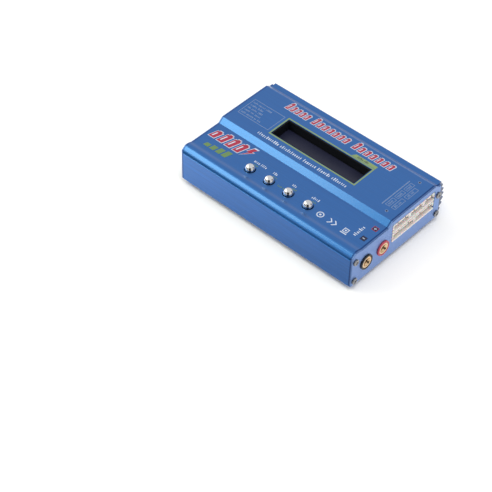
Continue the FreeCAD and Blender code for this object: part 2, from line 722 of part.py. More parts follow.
def make_window_shroud():
    """Black collar between the display frame and the lid: a flange and a rectangular tube."""
    shroud = new_body("window_shroud")
    tube_top = "dims.high_deck - 0.3"
    tube_len = "dims.win_len / 2 - dims.tube_fit"
    tube_wide = "dims.win_wide / 2 - dims.tube_fit"
    flange = new_sketch(shroud, "XY_Plane", "dims.bezel_top + 0.5")
    window_rectangle(flange, f"{tube_len} + dims.tube_lip", f"{tube_wide} + dims.tube_lip")
    pad(shroud, flange, "1", midplane=True)
    tube = new_sketch(shroud, "XY_Plane", f"(dims.bezel_top + {tube_top}) / 2")
    window_rectangle(tube, tube_len, tube_wide)
    pad(shroud, tube, f"{tube_top} - dims.bezel_top", midplane=True)
    bore = new_sketch(shroud, "XY_Plane", "dims.high_deck")
    window_rectangle(bore, f"{tube_len} - dims.tube_wall", f"{tube_wide} - dims.tube_wall")
    pocket(shroud, bore, "2 * dims.high_deck")
    finish(shroud, "window_shroud")


# ------------------------------------------------------------------ keys
KEYS = ("stop", "decrease", "increase", "start")


def make_keys():
    """Four chromed caps, each on the plunger of a tactile switch on the main board."""
    bodies = []
    for i, key in enumerate(KEYS):
        x = f"dims.key_first + {i} * dims.key_pitch"
        cap = turned(f"key_cap_{key}", [
            ("dims.stem_rad + 0.05", "-dims.skirt_low"),
            ("dims.skirt_rad", "-dims.skirt_low"),
            ("dims.skirt_rad", "-2.4"),
            ("dims.key_rad", "-1.8"),
            ("dims.key_rad", "dims.key_lift"),
            ("0", "dims.key_lift"),
            ("0", "-dims.stem_top"),
            ("dims.stem_rad + 0.05", "-dims.stem_top"),
        ])
        shoulder = edges_where(cap, lambda edge, mid: (
            abs(mid.z - size("dims.key_lift")) < 1e-3 and edge.Length > 1))
        dress(cap, "Fillet", shoulder, "dims.key_rad - 0.1")
        place(cap, x, "-dims.key_y", "dims.low_deck")
        finish(cap, f"{key}_key_cap")
        low = "(dims.board_top + dims.switch_tall - 2.2)"
        plunger = cylinder((x, "-dims.key_y", low), "dims.stem_rad",
                           f"dims.low_deck - dims.stem_top - {low}")
        finish(plunger, f"{key}_switch_plunger")
        width = "2 * dims.switch_half"
        shell = box((f"{x} - dims.switch_half", "-dims.key_y - dims.switch_half",
                     "dims.board_top"), (width, width, "dims.switch_tall"))
        well = cylinder((x, "-dims.key_y", f"{low} - 0.6"), "dims.stem_rad + 0.15", "4")
        bodies.append(cut(shell, well))
    finish(gather(bodies), "switch_bodies")


# ------------------------------------------------------------------ output sockets
def make_output_sockets():
    """Two 4 mm banana sockets: insulator, brass contact, nut and strap to the board."""
    inside = "-(dims.plate_thk + 8)"
    insulator_profile = [
        ("dims.sock_ring + 0.05", "dims.proud"),
        ("dims.sock_flange - 0.3", "dims.proud"),
        ("dims.sock_flange", "dims.proud - 0.3"),
        ("dims.sock_flange", "0"),
        ("dims.sock_barrel", "0"),
        ("dims.sock_barrel", inside),
        ("2.95", inside),
        ("2.95", "0.2"),
        ("dims.sock_ring + 0.05", "0.2"),
    ]
    tail = "-(dims.case_len / 2 + dims.plate_thk - 46.6)"
    contact_profile = [
        ("0", "dims.proud - dims.sock_deep"),
        ("dims.sock_bore", "dims.proud - dims.sock_deep"),
        ("dims.sock_bore", "dims.proud - dims.sock_funnel"),
        ("dims.sock_bore + 0.85", "dims.proud - 0.15"),
        ("dims.sock_ring - 0.2", "dims.proud - 0.15"),
        ("dims.sock_ring", "dims.proud - 0.35"),
        ("dims.sock_ring", "0.25"),
        ("2.9", "0.25"),
        ("2.9", "dims.proud - dims.sock_deep - 1.5"),
        ("1.5", "dims.proud - dims.sock_deep - 1.5"),
        ("1.5", tail),
        ("0", tail),
    ]
    nut_thk = "2.4"
    sides = (("negative", "-dims.sock_neg"), ("positive", "-dims.sock_pos"))
    nuts = []
    straps = []
    for sign, y in sides:
        for kind, profile in (("insulator", insulator_profile), ("contact", contact_profile)):
            piece = turned(f"{sign}_{kind}", profile)
            lay_along_x(piece)
            place(piece, PLATE_FACE, y, "dims.sock_z")
            finish(piece, f"{sign}_socket_{kind}")
        hexagon = doc.addObject("Part::Prism", "nut_blank")
        hexagon.Polygon = 6
        hexagon.setExpression("Circumradius", "dims.sock_flange + 0.8")
        hexagon.setExpression("Height", nut_thk)
        lay_along_x(hexagon)
        place(hexagon, f"{HALF} - {nut_thk}", y, "dims.sock_z")
        thread = cylinder((f"{HALF} - 4", y, "dims.sock_z"),
                          "dims.sock_barrel + 0.02", "6", axis="x")
        nuts.append(cut(hexagon, thread))
        foot = box(("dims.notch_x - 3.5", f"{y} - 1.8", "dims.board_top"), ("5.1", "3.6", "0.6"))
        lug = box(("dims.notch_x + 1", f"{y} - 1.8", "dims.board_top"), ("0.6", "3.6", "3.5"))
        straps.append(fuse([foot, lug]))
    finish(gather(nuts), "socket_nuts")
    finish(gather(straps), "output_straps")


# ------------------------------------------------------------------ balance headers
def header_width(pins):
    """Formula for the width of a header with this many pins."""
    return f"(dims.hdr_pitch * {pins - 1} + dims.hdr_end)"


def make_header(label, pins, y_low, z_low, side=1):
    """A side-entry header housing and its L-shaped pins; its mouth faces +X or -X."""
    width = header_width(pins)
    mouth = f"({side} * ({PLATE_FACE} + dims.hdr_proud))"
    back = f"({mouth} - {side} * dims.hdr_deep)"
    low_x = f"({back})" if side > 0 else f"({mouth})"
    shell = box((low_x, y_low, z_low), ("dims.hdr_deep", width, "dims.hdr_tall"))
    hollow_len = "(dims.hdr_deep - 2.4)"
    hollow_x = f"{low_x} + 2.4" if side > 0 else low_x
    hollow = box((hollow_x, f"{y_low} + dims.hdr_wall", f"{z_low} + dims.hdr_wall"),
                 (hollow_len, f"{width} - 2 * dims.hdr_wall",
                  "dims.hdr_tall - 2 * dims.hdr_wall"))
    tools = [hollow]
    for fraction in (0.28, 0.72):
        notch_y = f"{y_low} + {width} * {fraction} - 0.6"
        notch_x = f"{low_x} + dims.hdr_deep - 5" if side > 0 else low_x
        tools.append(box((notch_x, notch_y, f"{z_low} + dims.hdr_tall - dims.hdr_wall"),
                         ("5", "1.2", "dims.hdr_wall")))
    finish(cut(shell, fuse(tools)), label)
    solids = []
    for i in range(pins):
        y = f"{y_low} + dims.hdr_end / 2 + {i} * dims.hdr_pitch - dims.pin_wide / 2"
        middle = f"{z_low} + dims.hdr_tall / 2 - dims.pin_wide / 2"
        start = f"({back} - {side} * 1.2)"
        start_x = start if side > 0 else f"{start} - 9.2"
        reach = box((start_x, y, middle), ("9.2", "dims.pin_wide", "dims.pin_wide"))
        leg_x = start if side > 0 else f"{start} - dims.pin_wide"
        leg_low = f"{z_low} - dims.board_thk - 1"
        leg = box((leg_x, y, leg_low), ("dims.pin_wide", "dims.pin_wide",
                                        f"{middle} - ({leg_low})"))
        solids.append(fuse([reach, leg]))
    return solids


def make_balance_headers():
    """Two rows of headers with a thin board between them, and their pins."""
    upper_z = "(dims.hdr_high - dims.hdr_tall)"
    lower_start = "-dims.hdr_front + 0.3"
    pins = make_header("balance_header_7_pin", 7, lower_start, "dims.hdr_low")
    second = f"{lower_start} + {header_width(7)} + 0.3"
    pins += make_header("balance_header_6_pin", 6, second, "dims.hdr_low")
    pins += make_header("balance_header_5_pin", 5, lower_start, upper_z)
    second = f"{lower_start} + {header_width(5)} + 0.2"
    pins += make_header("balance_header_4_pin", 4, second, upper_z)
    third = f"{second} + {header_width(4)} + 0.2"
    pins += make_header("balance_header_3_pin", 3, third, upper_z)
    finish(gather(pins), "balance_pins")
    board_x = f"({PLATE_FACE} + dims.hdr_proud - dims.hdr_deep - 3.5)"
    board_low = "dims.hdr_low + dims.hdr_tall"
    finish(box((board_x, "-dims.hdr_front", board_low),
               (f"dims.board_right - {board_x}", "dims.hdr_front + dims.hdr_back",
                f"{upper_z} - ({board_low})")), "balance_board")
    links = [box((f"{board_x} + 0.6", f"-4 + {i} * 4.6",
                  "dims.board_top - dims.board_thk - 1"),
                 ("dims.pin_wide", "dims.pin_wide", f"{upper_z} + 1 - (dims.board_top - 2.6)"))
             for i in range(8)]
    finish(gather(links), "balance_link_pins")


# ------------------------------------------------------------------ input end
def make_power_jack():
    """Power jack: body with a round collar through the end plate, centre pin and spring."""
    inner = f"(-{HALF} + 0.1)"
    body = new_body("power_jack_body")
    sketch = new_sketch(body, "XY_Plane", "dims.board_top + 5.5")
    rectangle(sketch, inner, "-dims.jack_y - 4.6", f"{inner} + 14", "-dims.jack_y + 4.6")
    pad(body, sketch, "11", midplane=True)
    collar = new_sketch(body, "YZ_Plane", f"({inner} - ({PLATE_FACE}) - dims.proud) / 2")
    circle(collar, "-dims.jack_y", "dims.jack_z", "dims.jack_collar")
    pad(body, collar, f"{inner} + ({PLATE_FACE}) + dims.proud", midplane=True)
    bore = new_sketch(body, "YZ_Plane", f"-({PLATE_FACE}) - dims.proud")
    circle(bore, "-dims.jack_y", "dims.jack_z", "dims.jack_bore")
    pocket(body, bore, "2 * dims.jack_deep")
    finish(body, "power_jack_body")
    pin = turned("power_jack_pin", [
        ("0", "0"), ("dims.jack_pin", "0"), ("dims.jack_pin", "dims.jack_deep - 1.5"),
        ("dims.jack_pin - 0.4", "dims.jack_deep - 1.1"), ("0", "dims.jack_deep - 1.1"),
    ])
    lay_along_x(pin, -1)
    place(pin, f"-({PLATE_FACE}) - dims.proud + dims.jack_deep", "-dims.jack_y", "dims.jack_z")
    finish(pin, "power_jack_pin")
    spring = box((f"{inner} + 2", "-dims.jack_y - 0.6", "dims.jack_z - dims.jack_bore + 0.1"),
                 ("5", "1.2", "0.3"))
    finish(spring, "power_jack_spring")


def make_sensor_port():
    """Three-pin port for a temperature sensor, mouth facing -X."""
    y_low = f"dims.port_y - {header_width(3)} / 2"
    pins = make_header("sensor_port", 3, y_low, "dims.hdr_low", side=-1)
    finish(gather(pins), "sensor_port_pins")


# ------------------------------------------------------------------ electronics
def make_magnetics():
    """Toroid inductor with its winding, and a drum choke."""
    turn_count = 20
    middle = "dims.board_top + dims.coil_core + 2 * dims.coil_wire + 0.3"
    ring = doc.addObject("Part::Torus", "ring")
    ring.setExpression("Radius1", "dims.coil_rad")
    ring.setExpression("Radius2", "dims.coil_core")
    place(ring, "-dims.coil_x", "dims.coil_y", middle)
    finish(ring, "inductor_core")
    turns = []
    for i in range(turn_count):
        angle = 360 * i / turn_count
        turn = doc.addObject("Part::Torus", "turn")
        turn.setExpression("Radius1", "dims.coil_core + dims.coil_wire + 0.15")
        turn.setExpression("Radius2", "dims.coil_wire")
        spin = FreeCAD.Rotation(FreeCAD.Vector(0, 0, 1), angle)
        stand = FreeCAD.Rotation(FreeCAD.Vector(1, 0, 0), 90)
        turn.Placement.Rotation = spin.multiply(stand)
        place(turn, f"-dims.coil_x + dims.coil_rad * cos({angle})",
              f"dims.coil_y + dims.coil_rad * sin({angle})", middle)
        turns.append(turn)
    finish(gather(turns), "inductor_winding")
    choke = turned("output_choke", [
        ("0", "0"), ("6.2", "0"), ("6.2", "1.2"), ("4.4", "1.8"), ("4.4", "7.2"),
        ("6.2", "7.8"), ("6.2", "9"), ("0", "9"),
    ])
    place(choke, "-8", "-dims.cap_row", "dims.board_top")
    finish(choke, "output_choke")


def make_capacitors():
    """Six upright electrolytic capacitors."""
    pattern = turned("capacitor", [
        ("0", "0"), ("dims.cap_rad", "0"), ("dims.cap_rad", "1.4"),
        ("dims.cap_rad - 0.25", "1.8"), ("dims.cap_rad", "2.2"),
        ("dims.cap_rad", "dims.cap_tall - 0.4"), ("dims.cap_rad - 0.4", "dims.cap_tall"),
        ("0", "dims.cap_tall"),
    ])
    places = [(x, "-dims.cap_row", "dims.board_top") for x in (-41.5, -32, -22.5, 6, 15.5, 25)]
    copies(pattern, places, "capacitors")


def make_power_stage():
    """Power transistors pressed onto the floor through an insulating pad by a screwed bar."""
    floor = "(dims.foot_tall + dims.wall)"
    pad_len = "4 * dims.tab_pitch"
    sheet_pad = box((f"-{pad_len} / 2", "dims.tab_y - 1", floor), (pad_len, "22", "dims.mica_thk"))
    holes = [cylinder((x, "dims.clamp_y", floor), "1.6", "1") for x in CLAMP_X]
    finish(cut(sheet_pad, gather(holes)), "thermal_pad")
    tab_low = f"({floor} + dims.mica_thk)"
    body_low = f"({tab_low} + dims.tab_thk)"
    lead_low = f"({body_low} + 1.2)"
    lead_rise = f"dims.board_top - dims.board_thk - {lead_low}"
    tabs = []
    cases = []
    for i in range(4):
        x = f"({i - 1.5} * dims.tab_pitch - dims.tab_wide / 2)"
        tabs.append(box((x, "dims.tab_y", tab_low), ("dims.tab_wide", "15.4", "dims.tab_thk")))
        pieces = [box((x, "dims.tab_y", body_low),
                      ("dims.tab_wide", "9", f"{floor} + dims.body_top - {body_low}"))]
        for j in (-1, 0, 1):
            lead_x = f"{x} + dims.tab_wide / 2 + {j} * dims.lead_pitch - 0.4"
            pieces.append(box((lead_x, "dims.tab_y - 4", lead_low), ("0.8", "4", "0.5")))
            pieces.append(box((lead_x, "dims.tab_y - 4", lead_low), ("0.8", "0.5", lead_rise)))
        cases.append(fuse(pieces))
    finish(gather(tabs), "transistor_tabs")
    finish(gather(cases), "power_transistors")
    bar_low = f"({floor} + dims.body_top)"
    bar = box(("-31", "dims.clamp_y - 3", bar_low), ("62", "6", "dims.bar_thk"))
    holes = [cylinder((x, "dims.clamp_y", floor), "1.4", "8") for x in CLAMP_X]
    finish(cut(bar, gather(holes)), "clamp_bar")
    screw = make_screw("clamp_screw", "2.4", "0.7", "1.2", "6.6")
    places = [(x, "dims.clamp_y", f"{bar_low} + dims.bar_thk") for x in CLAMP_X]
    copies(screw, places, "clamp_screws")


def make_small_parts():
    """Controller, buzzer, fuse, shunt, balance resistors and driver chips."""
    top = "dims.board_top"
    chip = [box(("-5", "4", top), ("10", "10", "1"))]
    for i in range(11):
        across = 0.8 * i - 4.17
        for low in (-6, 5):
            chip.append(box((low, 9 + across, top), ("1", "0.34", "0.3")))
            chip.append(box((across, 9 + low, top), ("0.34", "1", "0.3")))
    finish(fuse(chip), "microcontroller")
    buzzer = turned("buzzer", [
        ("0", "0"), ("5.9", "0"), ("5.9", "8.2"), ("5.5", "8.6"), ("1", "8.6"), ("1", "7.6"),
        ("0", "7.6"),
    ])
    place(buzzer, "-55", "-12.8", top)
    finish(buzzer, "buzzer")
    finish(box(("34", "-22", top), ("8", "3", "5")), "input_fuse")
    shunt = [box(("33", "-12.4", top), ("1.2", "2", "3")),
             box(("42", "-12.4", top), ("1.2", "2", "3")),
             box(("33", "-12.4", f"{top} + 3"), ("10.2", "2", "1.2"))]
    finish(fuse(shunt), "output_shunt")
    resistors = [box((41.5 + 5 * column, -3.5 + 5 * line, top), ("3.2", "2.6", "0.7"))
                 for column in range(2) for line in range(6)]
    finish(gather(resistors), "balance_resistors")
    drivers = [box((-36 + 12 * i, "16", top), ("5", "4", "1.4")) for i in range(6)]
    finish(gather(drivers), "driver_chips")


# ------------------------------------------------------------------ build and write
make_bottom_case()
make_top_cover()
make_end_plate("output_end_plate", 1)
make_end_plate("input_end_plate", -1)
make_end_plate_screws()
make_rubber_feet()
make_main_board()
make_board_posts()
make_display()
make_window_shroud()
make_keys()
make_output_sockets()
make_balance_headers()
make_power_jack()
make_sensor_port()
make_magnetics()
make_capacitors()
make_power_stage()
make_small_parts()
doc.recompute()

for obj in doc.Objects:
    if "Invalid" in obj.State or "Error" in obj.State:
        raise RuntimeError(f"{obj.Name} ({obj.Label}) failed: {obj.State}")
for node in NODES:
    if node.Shape.isNull() or not node.Shape.isValid():
        raise RuntimeError(f"{node.Label} has no valid shape")
    node.Shape.exportStep(f"parts/{node.Label}.step")
print(len(NODES), "sub-parts written")
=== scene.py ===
"""Looks of a balance battery charger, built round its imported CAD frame.

The case, end plates, boards and inner parts are the CAD nodes with procedural materials.  Keys,
sockets, balance headers, end plate screws and everything printed on the lid are made here.
Lengths in the tables are millimetres in the frame's own axes: +X out of the output end, +Y towards
the finned rear side, +Z up from the standing surface.
"""
import json
import math
import random

import bmesh
import bpy
from mathutils import Matrix, Quaternion, Vector


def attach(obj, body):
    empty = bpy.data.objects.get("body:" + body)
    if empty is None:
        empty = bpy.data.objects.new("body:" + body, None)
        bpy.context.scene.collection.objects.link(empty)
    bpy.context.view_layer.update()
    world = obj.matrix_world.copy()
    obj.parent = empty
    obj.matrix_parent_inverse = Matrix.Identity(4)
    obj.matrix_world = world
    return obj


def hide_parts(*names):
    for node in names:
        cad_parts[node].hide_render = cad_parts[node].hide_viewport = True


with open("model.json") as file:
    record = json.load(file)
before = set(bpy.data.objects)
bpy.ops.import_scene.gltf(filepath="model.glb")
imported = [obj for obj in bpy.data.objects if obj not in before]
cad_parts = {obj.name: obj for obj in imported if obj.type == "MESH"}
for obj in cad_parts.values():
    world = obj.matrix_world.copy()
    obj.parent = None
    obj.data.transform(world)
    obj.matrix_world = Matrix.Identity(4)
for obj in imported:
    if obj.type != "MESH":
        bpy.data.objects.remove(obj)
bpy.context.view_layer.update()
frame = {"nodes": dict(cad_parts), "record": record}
MM = 0.001
ROOT = "charger"
ALONG_X = Matrix.Rotation(math.pi / 2, 4, "Y")

# ------------------------------------------------------------------ camera
CAMERA_AIM = Vector((-9.43, -46.42, -13.03)) * MM
CAMERA_AZIMUTH = math.radians(41.52)
CAMERA_ELEVATION = math.radians(45.48)
CAMERA_ROLL = math.radians(1.34)
CAMERA_DISTANCE = 936.4 * MM
CAMERA_LENS = 116.63


def direction(azimuth, elevation):
    """Unit vector from the object towards a viewer at this azimuth and elevation."""
    flat = math.cos(elevation)
    return Vector((math.sin(azimuth) * flat, -math.cos(azimuth) * flat, math.sin(elevation)))


def make_camera():
    """The camera, at the photograph's viewing angle."""
    back = direction(CAMERA_AZIMUTH, CAMERA_ELEVATION)
    camera = bpy.data.objects.new("camera", bpy.data.cameras.new("camera"))
    camera.data.lens = CAMERA_LENS
    camera.data.sensor_width = 36
    camera.data.clip_start = 0.05
    camera.data.clip_end = 20
    camera.rotation_mode = "QUATERNION"
    level = (-back).to_track_quat("-Z", "Y")
    camera.rotation_quaternion = level @ Quaternion((0, 0, 1), CAMERA_ROLL)
    camera.location = CAMERA_AIM + back * CAMERA_DISTANCE
    bpy.context.scene.collection.objects.link(camera)
    bpy.context.scene.camera = camera


# ------------------------------------------------------------------ materials
def add_node(mat, kind, **settings):
    """A shader node with the given properties and input defaults."""
    node = mat.node_tree.nodes.new("ShaderNode" + kind)
    for key, value in settings.items():
        if hasattr(node, key):
            setattr(node, key, value)
        else:
            node.inputs[key.replace("_", " ")].default_value = value
    return node


def shader_of(mat):
    """The material's Principled shader."""
    return mat.node_tree.nodes["Principled BSDF"]


def principled(name, colour, roughness, metallic=0.0, **more):
    """A Principled material whose constants sit on the shader's own sockets."""
    mat = bpy.data.materials.new(name)
    mat.use_nodes = True
    shader = shader_of(mat)
    shader.inputs["Base Color"].default_value = (*colour, 1)
    shader.inputs["Roughness"].default_value = roughness
    shader.inputs["Metallic"].default_value = metallic
    for socket, value in more.items():
        shader.inputs[socket.replace("_", " ")].default_value = value
    return mat


def grain(mat, stretch, scale, detail=3.0):
    """A noise pattern fixed to the piece, stretched along X, Y and Z; gives its 0 to 1 output."""
    tree = mat.node_tree
    place = add_node(mat, "TexCoord")
    mapping = add_node(mat, "Mapping")
    mapping.inputs["Scale"].default_value = stretch
    noise = add_node(mat, "TexNoise", Scale=scale, Detail=detail)
    tree.links.new(place.outputs["Object"], mapping.inputs["Vector"])
    tree.links.new(mapping.outputs["Vector"], noise.inputs["Vector"])
    return noise.outputs["Fac"]


def vary_colour(mat, pattern, dark, light):
    """Lets a pattern move the base colour between two colours."""
    tree = mat.node_tree
    ramp = add_node(mat, "ValToRGB")
    ramp.color_ramp.elements[0].position = 0.3
    ramp.color_ramp.elements[0].color = (*dark, 1)
    ramp.color_ramp.elements[1].position = 0.7
    ramp.color_ramp.elements[1].color = (*light, 1)
    tree.links.new(pattern, ramp.inputs["Fac"])
    tree.links.new(ramp.outputs["Color"], shader_of(mat).inputs["Base Color"])
    return ramp.outputs["Color"]


def vary_roughness(mat, pattern, low, high):
    """Lets a pattern move the roughness between two values."""
    tree = mat.node_tree
    spread = add_node(mat, "MapRange", From_Min=0.3, From_Max=0.7, To_Min=low, To_Max=high)
    tree.links.new(pattern, spread.inputs["Value"])
    tree.links.new(spread.outputs["Result"], shader_of(mat).inputs["Roughness"])


def emboss(mat, pattern, depth):
    """Turns a pattern into relief of this depth in metres."""
    tree = mat.node_tree
    bump = add_node(mat, "Bump", Strength=1.0, Distance=depth)
    tree.links.new(pattern, bump.inputs["Height"])
    tree.links.new(bump.outputs["Normal"], shader_of(mat).inputs["Normal"])


def shades(colour, spread):
    """A colour a little darker and a little lighter."""
    return (tuple(c * (1 - spread) for c in colour),
            tuple(min(1.0, c * (1 + spread)) for c in colour))


def mottled(name, colour, roughness, metallic=0.0, scale=900.0, spread=0.08, relief=2e-6,
            **more):
    """A finish with even, fine variation of colour, gloss and surface."""
    mat = principled(name, colour, roughness, metallic, **more)
    pattern = grain(mat, (1, 1, 1), scale)
    vary_colour(mat, pattern, *shades(colour, spread))
    vary_roughness(mat, pattern, roughness * 0.85, min(1.0, roughness * 1.15))
    emboss(mat, pattern, relief)
    return mat


# colours of the blue aluminium, including painted shade for the extrusion's end faces and for a
# plate's edge behind its rim, and where that painted shade on the plate (metres) gives way to its
# face
LID_BLUE = (0.009, 0.145, 0.49)
TRAY_BLUE = (0.020, 0.18, 0.60)
PLATE_BLUE = (0.15, 0.28, 0.60)
RIM_SHADE_BLUE = (0.010, 0.08, 0.33)
END_SHADE_BLUE = (0.010, 0.035, 0.12)
RIM_INNER = 64.7 * MM
RIM_OUTER = 65.0 * MM


def extruded_finish(name, colour, roughness, spread, relief, coat):
    """Anodised extrusion: die lines along X under a clear satin oxide, with painted shade: faces
    pointing along X are coloured dark blue.
    """
    mat = principled(name, colour, roughness, 1.0, Coat_Weight=coat, Coat_Roughness=0.18,
                     Coat_IOR=1.6)
    lines = grain(mat, (0.02, 1, 1), 1500, detail=4)
    skin = vary_colour(mat, lines, *shades(colour, spread))
    vary_roughness(mat, lines, roughness - 0.03, roughness + 0.04)
    emboss(mat, lines, relief)
    # painted shade: end faces, whose normals point along X, are blended to a dark blue
    blend_colour(mat, along_x(mat, "Normal", 0.6, 0.9), skin, END_SHADE_BLUE)
    return mat


def along_x(mat, source, start, end):
    """Rises from 0 to 1 as the size of X goes from start to end.

    The source says which X: that of the surface's "Normal", or of its place in the "Object".
    """
    tree = mat.node_tree
    coordinates = add_node(mat, "TexCoord")
    split = add_node(mat, "SeparateXYZ")
    size = add_node(mat, "Math", operation="ABSOLUTE")
    edge = add_node(mat, "MapRange", From_Min=start, From_Max=end)
    tree.links.new(coordinates.outputs[source], split.inputs["Vector"])
    tree.links.new(split.outputs["X"], size.inputs[0])
    tree.links.new(size.outputs[0], edge.inputs["Value"])
    return edge.outputs["Result"]


def blend_colour(mat, amount, sides, ends):
    """Colours the surface from one colour to another; each is a colour or a socket."""
    tree = mat.node_tree
    mix = add_node(mat, "Mix", data_type="RGBA")
    tree.links.new(amount, mix.inputs["Factor"])
    for key, source in (("A", sides), ("B", ends)):
        if isinstance(source, tuple):
            mix.inputs[key].default_value = (*source, 1)
        else:
            tree.links.new(source, mix.inputs[key])
    tree.links.new(mix.outputs["Result"], shader_of(mat).inputs["Base Color"])


def plate_finish():
    """Bead-blasted end plate, pale on its face, with painted shade: its edge behind the rounded
    rim is coloured deep blue.
    """
    mat = principled("plate_blue", PLATE_BLUE, 0.4, 1.0, Coat_Weight=0.6, Coat_Roughness=0.3)
    blasting = grain(mat, (1, 1, 1), 3500, detail=4)
    face = vary_colour(mat, blasting, *shades(PLATE_BLUE, 0.10))
    vary_roughness(mat, blasting, 0.36, 0.46)
    emboss(mat, blasting, 4e-6)
    # painted shade: the plate's edge behind its rim is blended to a dark blue
    blend_colour(mat, along_x(mat, "Object", RIM_INNER, RIM_OUTER), RIM_SHADE_BLUE, face)
    return mat


def board_finish():
    """Circuit board: solder mask over a network of copper tracks."""
    mask = (0.01, 0.13, 0.045)
    mat = principled("board_green", mask, 0.35)
    tree = mat.node_tree
    place = add_node(mat, "TexCoord")
    tracks = add_node(mat, "TexVoronoi", feature="DISTANCE_TO_EDGE", distance="MANHATTAN",
                      Scale=260.0)
    ramp = add_node(mat, "ValToRGB")
    ramp.color_ramp.elements[0].position = 0.03
    ramp.color_ramp.elements[0].color = (0.03, 0.24, 0.09, 1)
    ramp.color_ramp.elements[1].position = 0.05
    ramp.color_ramp.elements[1].color = (*mask, 1)
    tree.links.new(place.outputs["Object"], tracks.inputs["Vector"])
    tree.links.new(tracks.outputs["Distance"], ramp.inputs["Fac"])
    tree.links.new(ramp.outputs["Color"], shader_of(mat).inputs["Base Color"])
    return mat


FINISHES = {
    "case_blue": extruded_finish("case_blue", LID_BLUE, 0.32, 0.05, 0.8e-6, 0.9),
    "plate_blue": plate_finish(),
    "board_green": board_finish(),
    "screw_steel": mottled("screw_steel", (0.30, 0.30, 0.31), 0.24, 1.0, scale=1500),
    "foot_rubber": mottled("foot_rubber", (0.022, 0.022, 0.024), 0.75, scale=2500, relief=2e-5),
    "post_brass": mottled("post_brass", (0.76, 0.56, 0.24), 0.3, 1.0),
    "backlight_white": mottled("backlight_white", (0.72, 0.78, 0.8), 0.6),
    "lcd_glass": mottled("lcd_glass", (0.012, 0.014, 0.036), 0.5, scale=60, spread=0.1,
                         relief=0.0),
    "bezel_black": mottled("bezel_black", (0.012, 0.012, 0.014), 0.45),
    "black_plastic": mottled("black_plastic", (0.004, 0.005, 0.008), 0.6, scale=2000,
                             relief=4e-6, Specular_IOR_Level=0.25),
    "pin_gold": mottled("pin_gold", (0.86, 0.66, 0.33), 0.25, 1.0, scale=2000),
    "key_chrome": mottled("key_chrome", (0.80, 0.80, 0.81), 0.07, 1.0, scale=500, spread=0.02,
                          relief=2e-7),
    "socket_black": mottled("socket_black", (0.016, 0.016, 0.018), 0.35, scale=1500),
    "socket_red": mottled("socket_red", (0.46, 0.06, 0.09), 0.35, scale=1500),
    "contact_brass": mottled("contact_brass", (0.84, 0.60, 0.36), 0.22, 1.0, scale=1800,
                             spread=0.12),
    "nut_nickel": mottled("nut_nickel", (0.66, 0.65, 0.62), 0.3, 1.0),
    "nylon_white": mottled("nylon_white", (0.80, 0.745, 0.71), 0.45, scale=1200, spread=0.03,
                           Subsurface_Weight=0.25, Subsurface_Scale=0.001),
    "ferrite": mottled("ferrite", (0.03, 0.03, 0.032), 0.6, scale=2500, relief=8e-6),
    "copper_wire": mottled("copper_wire", (0.62, 0.24, 0.10), 0.3, 1.0),
    "capacitor_sleeve": mottled("capacitor_sleeve", (0.012, 0.02, 0.07), 0.35),
    "thermal_grey": mottled("thermal_grey", (0.34, 0.36, 0.38), 0.7, scale=2000),
    "bare_aluminium": mottled("bare_aluminium", (0.68, 0.69, 0.70), 0.35, 1.0),
    "print_white": mottled("print_white", (0.50, 0.56, 0.68), 0.5, scale=4000),
    "print_pale": mottled("print_pale", (0.16, 0.24, 0.42), 0.5, scale=4000),
    "print_red": mottled("print_red", (0.33, 0.018, 0.05), 0.5, scale=4000),
    "print_lime": mottled("print_lime", (0.19, 0.27, 0.11), 0.5, scale=4000),
    "print_green": mottled("print_green", (0.11, 0.20, 0.07), 0.5, scale=4000),
    "print_dark": mottled("print_dark", (0.006, 0.010, 0.045), 0.5, scale=4000),
}
for row in frame["record"]["subparts"]:
    node = frame["nodes"][row["node"]]
    node.data.materials.clear()
    node.data.materials.append(FINISHES[row["material_slot"]])
frame["nodes"]["bottom_case"].data.materials[0] = extruded_finish(
    "tray_blue", TRAY_BLUE, 0.36, 0.12, 2.0e-6, 0.85)


# ------------------------------------------------------------------ studio
def quad(name, corners, colour):
    """A stage card: one flat face of one plain colour."""
    mesh = bpy.data.meshes.new(name)
    mesh.from_pydata(corners, [], [(0, 1, 2, 3)])
    card = bpy.data.objects.new(name, mesh)
    bpy.context.scene.collection.objects.link(card)
    mesh.materials.append(principled(name, colour, roughness=0.9))
    return card


def aim(obj, towards, distance):
    """Places an object at a distance in a direction, facing the origin with its -Z side."""
    obj.location = Vector(towards).normalized() * distance
    obj.rotation_mode = "QUATERNION"
    obj.rotation_quaternion = (-Vector(towards)).to_track_quat("-Z", "Y")


def add_softbox(name, towards, distance, width, height, radiance, mirrored=True,
                tint=(1, 1, 1)):
    """A rectangular area light that faces the object and looks this bright in a mirror."""
    light = bpy.data.lights.new(name, "AREA")
    light.shape = "RECTANGLE"
    light.size = width
    light.size_y = height
    light.energy = radiance * math.pi * width * height
    light.color = tint
    lamp = bpy.data.objects.new(name, light)
    aim(lamp, towards, distance)
    lamp.visible_camera = False
    lamp.visible_glossy = mirrored
    bpy.context.scene.collection.objects.link(lamp)


def only_mirrored(card):
    """Hides a card from everything but reflections."""
    card.visible_camera = False
    card.visible_shadow = False
    card.visible_diffuse = False


def fade_along_x(mat, start, end):
    """Grades a card from one grey to another; each end is (X in metres, grey)."""
    tree = mat.node_tree
    place = add_node(mat, "TexCoord")
    split = add_node(mat, "SeparateXYZ")
    grade = add_node(mat, "MapRange", From_Min=start[0], From_Max=end[0], To_Min=start[1],
                     To_Max=end[1])
    tree.links.new(place.outputs["Object"], split.inputs["Vector"])
    tree.links.new(split.outputs["X"], grade.inputs["Value"])
    tree.links.new(grade.outputs["Result"], shader_of(mat).inputs["Base Color"])


def add_flag(name, towards, distance, width, height, shade=0.01):
    """A dark card that only reflections see, to give the metal its dark edges."""
    x, y = width / 2, height / 2
    card = quad(name, [(-x, -y, 0), (x, -y, 0), (x, y, 0), (-x, y, 0)], (shade,) * 3)
    aim(card, towards, distance)
    only_mirrored(card)


